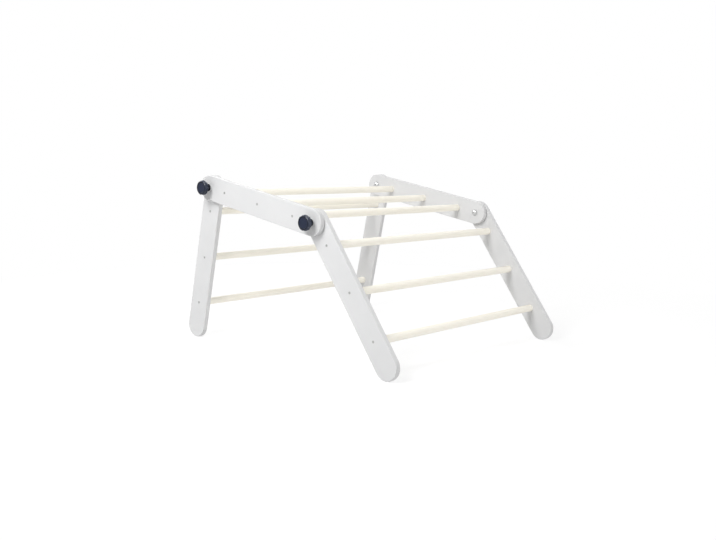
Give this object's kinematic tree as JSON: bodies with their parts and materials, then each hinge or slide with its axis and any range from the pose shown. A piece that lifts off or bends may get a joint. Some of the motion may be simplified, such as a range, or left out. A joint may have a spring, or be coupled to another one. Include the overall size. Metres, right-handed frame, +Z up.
{
  "type": "folding climbing triangle",
  "caption": "Low indoor climbing frame for small children: ladder panels of flat round-ended boards and round rungs, joined at hinge lines that hand knobs clamp.",
  "frame": {"origin": "on the floor, under the centre of the object's box", "axes": "+Z up, +X from the back legs to the front legs, +Y from the side with the overlapping top board outermost (near) to the far side"},
  "size_m": [0.9674, 0.984, 0.5758],
  "materials": {
    "white_board": "satin white paint on a planed board",
    "pale_rung": "clear matt lacquer on a turned dowel",
    "zinc_steel": "bright zinc plating",
    "brass": "turned",
    "knob_plastic": "moulded, semi-gloss",
    "nylon": "natural nylon"
  },
  "bodies": {
    "top_panel": {"top_board_near": "white_board", "top_board_far": "white_board", "top_rung_1": "pale_rung", "top_rung_2": "pale_rung", "top_rung_3": "pale_rung", "top_screws": "zinc_steel", "far_back_bolt": "zinc_steel", "far_back_bolt_washer": "zinc_steel", "far_back_friction_washer": "nylon", "far_front_bolt": "zinc_steel", "far_front_bolt_washer": "zinc_steel", "far_front_friction_washer": "nylon"},
    "back_leg_panel": {"back_leg_board_near": "white_board", "back_leg_board_far": "white_board", "back_leg_rung_1": "pale_rung", "back_leg_rung_2": "pale_rung", "back_leg_rung_3": "pale_rung", "back_leg_screws": "zinc_steel", "near_back_bolt": "zinc_steel", "near_back_bolt_washer": "zinc_steel", "near_back_friction_washer": "nylon"},
    "front_leg_panel": {"front_leg_board_near": "white_board", "front_leg_board_far": "white_board", "front_leg_rung_1": "pale_rung", "front_leg_rung_2": "pale_rung", "front_leg_rung_3": "pale_rung", "front_leg_screws": "zinc_steel", "near_front_bolt": "zinc_steel", "near_front_bolt_washer": "zinc_steel", "near_front_friction_washer": "nylon"},
    "near_back_clamp": {"near_back_knob": "knob_plastic", "near_back_knob_insert": "brass", "near_back_knob_washer": "zinc_steel"},
    "near_front_clamp": {"near_front_knob": "knob_plastic", "near_front_knob_insert": "brass", "near_front_knob_washer": "zinc_steel"},
    "far_back_clamp": {"far_back_knob": "knob_plastic", "far_back_knob_insert": "brass", "far_back_knob_washer": "zinc_steel"},
    "far_front_clamp": {"far_front_knob": "knob_plastic", "far_front_knob_insert": "brass", "far_front_knob_washer": "zinc_steel"}
  },
  "joints": [
    {"name": "back_leg_fold", "type": "hinge", "parent": "top_panel", "child": "back_leg_panel", "pos_m": [-0.3458, 0, 0.53331], "axis": [0, 1, 0], "range_deg": [-25, 203]},
    {"name": "front_leg_fold", "type": "hinge", "parent": "top_panel", "child": "front_leg_panel", "pos_m": [0.1466, 0, 0.44649], "axis": [0, -1, 0], "range_deg": [-70, 158]},
    {"name": "near_back_knob_turn", "type": "hinge", "parent": "back_leg_panel", "child": "near_back_clamp", "pos_m": [-0.3458, -0.4745, 0.53331], "axis": [0, -1, 0], "range_deg": [0, 540]},
    {"name": "near_front_knob_turn", "type": "hinge", "parent": "front_leg_panel", "child": "near_front_clamp", "pos_m": [0.1466, -0.4745, 0.44649], "axis": [0, -1, 0], "range_deg": [0, 540]},
    {"name": "far_back_knob_turn", "type": "hinge", "parent": "top_panel", "child": "far_back_clamp", "pos_m": [-0.3458, 0.4745, 0.53331], "axis": [0, 1, 0], "range_deg": [0, 540]},
    {"name": "far_front_knob_turn", "type": "hinge", "parent": "top_panel", "child": "far_front_clamp", "pos_m": [0.1466, 0.4745, 0.44649], "axis": [0, 1, 0], "range_deg": [0, 540]}
  ]
}
